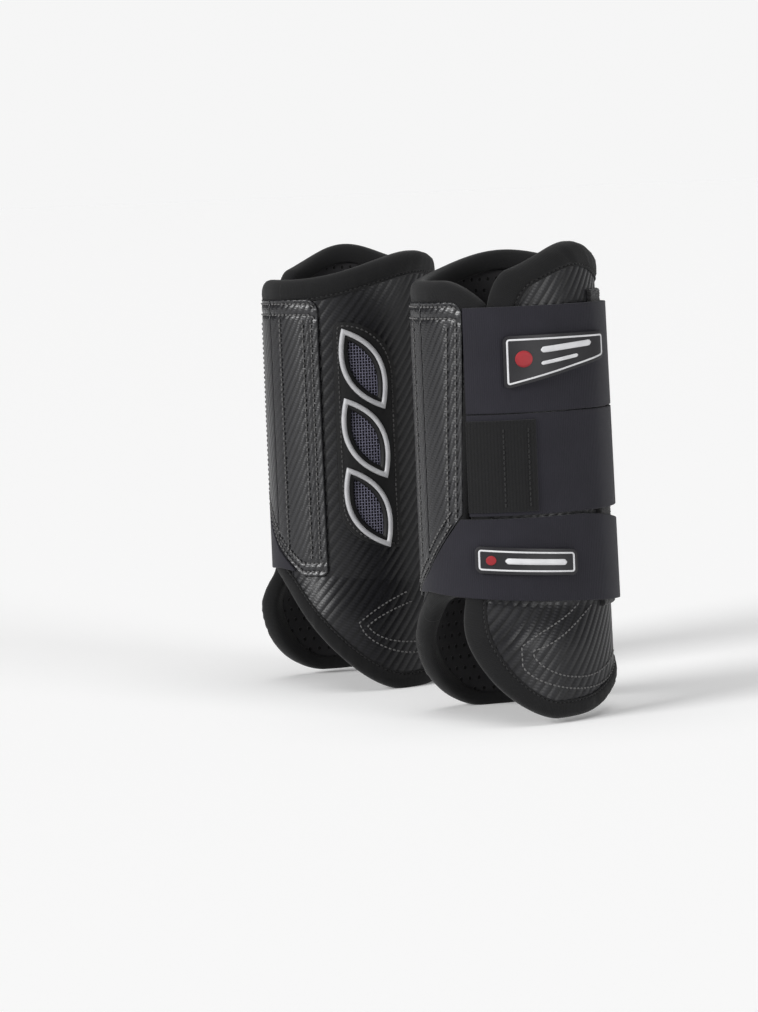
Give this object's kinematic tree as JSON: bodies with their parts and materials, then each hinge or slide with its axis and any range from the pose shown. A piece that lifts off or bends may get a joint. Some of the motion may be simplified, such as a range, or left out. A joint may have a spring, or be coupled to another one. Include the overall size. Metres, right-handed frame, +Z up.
{
  "type": "tendon boots",
  "caption": "Pair of closed tendon boots for a horse: ribbed dark shells, vented inner sides, bound edges, and wide elastic straps with badges.",
  "frame": {"origin": "midway between the two leg axes, level with the lowest edge of the boots", "axes": "+Z up the legs, -X forward as the horse faces, -Y to the horse's left, where the left boot is"},
  "size_m": [0.1074, 0.2666, 0.2425],
  "materials": {
    "neoprene": "matt perforated neoprene with a knitted face",
    "binding": "matt soft folded tape",
    "carbon": "satin coated cloth with a coarse carbon-look twill",
    "front_panel": "satin coated cloth with a coarse carbon-look twill, lighter",
    "plate": "plain moulded plastic",
    "surround": "smooth moulded rubber, slightly satin",
    "rim": "satin pale silver plastic",
    "mesh": "fine open grey-violet mesh",
    "loop": "brushed fuzzy loop cloth",
    "elastic": "smooth dense elastic with a fine knit",
    "hook": "hook tape with fine stiff hooks",
    "tab": "matt black webbing",
    "badge": "raised soft rubber with pale and red printed shapes",
    "thread": "grey sewing thread"
  },
  "bodies": {
    "root": {"left_main_lining": "neoprene", "left_strike_plate": "plate", "left_carbon_shell": "carbon", "left_main_binding": "binding", "left_inner_front_panel": "front_panel", "left_vent_surround": "surround", "left_vent_frame_top": "rim", "left_vent_frame_middle": "rim", "left_vent_frame_bottom": "rim", "left_vent_mesh_top": "mesh", "left_vent_mesh_middle": "mesh", "left_vent_mesh_bottom": "mesh", "left_loop_panel": "loop", "right_main_lining": "neoprene", "right_strike_plate": "plate", "right_carbon_shell": "carbon", "right_main_binding": "binding", "right_inner_front_panel": "front_panel", "right_vent_surround": "surround", "right_vent_frame_top": "rim", "right_vent_frame_middle": "rim", "right_vent_frame_bottom": "rim", "right_vent_mesh_top": "mesh", "right_vent_mesh_middle": "mesh", "right_vent_mesh_bottom": "mesh", "right_loop_panel": "loop"},
    "left_flap": {"left_flap_lining": "neoprene", "left_flap_shell": "carbon", "left_flap_binding": "binding", "left_outer_front_panel": "front_panel", "left_strap_lower_gusset": "elastic"},
    "left_strap_upper": {"left_strap_upper": "elastic", "left_badge_upper": "badge"},
    "left_strap_upper_end": {"left_strap_upper_end": "elastic", "left_hook_tab_upper": "hook"},
    "left_strap_middle": {"left_strap_middle": "elastic", "left_strap_anchor_tab": "tab"},
    "left_strap_middle_end": {"left_strap_middle_end": "elastic", "left_hook_tab_middle": "hook"},
    "left_strap_lower": {"left_strap_lower": "elastic", "left_badge_lower": "badge"},
    "left_strap_lower_end": {"left_strap_lower_end": "elastic", "left_hook_tab_lower": "hook"},
    "right_flap": {"right_flap_lining": "neoprene", "right_flap_shell": "carbon", "right_flap_binding": "binding", "right_outer_front_panel": "front_panel", "right_strap_lower_gusset": "elastic"},
    "right_strap_upper": {"right_strap_upper": "elastic", "right_badge_upper": "badge"},
    "right_strap_upper_end": {"right_strap_upper_end": "elastic", "right_hook_tab_upper": "hook"},
    "right_strap_middle": {"right_strap_middle": "elastic", "right_strap_anchor_tab": "tab"},
    "right_strap_middle_end": {"right_strap_middle_end": "elastic", "right_hook_tab_middle": "hook"},
    "right_strap_lower": {"right_strap_lower": "elastic", "right_badge_lower": "badge"},
    "right_strap_lower_end": {"right_strap_lower_end": "elastic", "right_hook_tab_lower": "hook"}
  },
  "joints": [
    {"name": "left_flap_open", "type": "hinge", "parent": "root", "child": "left_flap", "pos_m": [-0.0517, -0.0845, 0.15], "axis": [0, 0, -1], "range_deg": [0, 70]},
    {"name": "left_strap_upper_peel", "type": "hinge", "parent": "left_flap", "child": "left_strap_upper", "pos_m": [-0.04191, -0.11066, 0.186], "axis": [0, 0, -1], "range_deg": [0, 105]},
    {"name": "left_strap_upper_end_lift", "type": "hinge", "parent": "left_strap_upper", "child": "left_strap_upper_end", "pos_m": [0.03371, -0.12115, 0.186], "axis": [0, 0, -1], "range_deg": [0, 70]},
    {"name": "left_strap_middle_peel", "type": "hinge", "parent": "left_flap", "child": "left_strap_middle", "pos_m": [-0.04191, -0.11066, 0.132], "axis": [0, 0, -1], "range_deg": [0, 105]},
    {"name": "left_strap_middle_end_lift", "type": "hinge", "parent": "left_strap_middle", "child": "left_strap_middle_end", "pos_m": [0.01344, -0.12819, 0.132], "axis": [0, 0, -1], "range_deg": [0, 70]},
    {"name": "left_strap_lower_peel", "type": "hinge", "parent": "left_flap", "child": "left_strap_lower", "pos_m": [-0.04191, -0.11066, 0.08], "axis": [0, 0, -1], "range_deg": [0, 105]},
    {"name": "left_strap_lower_end_lift", "type": "hinge", "parent": "left_strap_lower", "child": "left_strap_lower_end", "pos_m": [0.01375, -0.12819, 0.08], "axis": [0, 0, -1], "range_deg": [0, 70]},
    {"name": "right_flap_open", "type": "hinge", "parent": "root", "child": "right_flap", "pos_m": [-0.0517, 0.0845, 0.15], "axis": [0, 0, 1], "range_deg": [0, 70]},
    {"name": "right_strap_upper_peel", "type": "hinge", "parent": "right_flap", "child": "right_strap_upper", "pos_m": [-0.04191, 0.11066, 0.186], "axis": [0, 0, 1], "range_deg": [0, 105]},
    {"name": "right_strap_upper_end_lift", "type": "hinge", "parent": "right_strap_upper", "child": "right_strap_upper_end", "pos_m": [0.03371, 0.12115, 0.186], "axis": [0, 0, 1], "range_deg": [0, 70]},
    {"name": "right_strap_middle_peel", "type": "hinge", "parent": "right_flap", "child": "right_strap_middle", "pos_m": [-0.04191, 0.11066, 0.132], "axis": [0, 0, 1], "range_deg": [0, 105]},
    {"name": "right_strap_middle_end_lift", "type": "hinge", "parent": "right_strap_middle", "child": "right_strap_middle_end", "pos_m": [0.01344, 0.12819, 0.132], "axis": [0, 0, 1], "range_deg": [0, 70]},
    {"name": "right_strap_lower_peel", "type": "hinge", "parent": "right_flap", "child": "right_strap_lower", "pos_m": [-0.04191, 0.11066, 0.08], "axis": [0, 0, 1], "range_deg": [0, 105]},
    {"name": "right_strap_lower_end_lift", "type": "hinge", "parent": "right_strap_lower", "child": "right_strap_lower_end", "pos_m": [0.01375, 0.12819, 0.08], "axis": [0, 0, 1], "range_deg": [0, 70]}
  ],
  "couplings": [
    {"joint": "left_strap_upper_end_lift", "follows": "left_strap_upper_peel", "ratio": 0.66667},
    {"joint": "left_strap_middle_end_lift", "follows": "left_strap_middle_peel", "ratio": 0.66667},
    {"joint": "left_strap_lower_end_lift", "follows": "left_strap_lower_peel", "ratio": 0.66667},
    {"joint": "right_strap_upper_end_lift", "follows": "right_strap_upper_peel", "ratio": 0.66667},
    {"joint": "right_strap_middle_end_lift", "follows": "right_strap_middle_peel", "ratio": 0.66667},
    {"joint": "right_strap_lower_end_lift", "follows": "right_strap_lower_peel", "ratio": 0.66667}
  ]
}
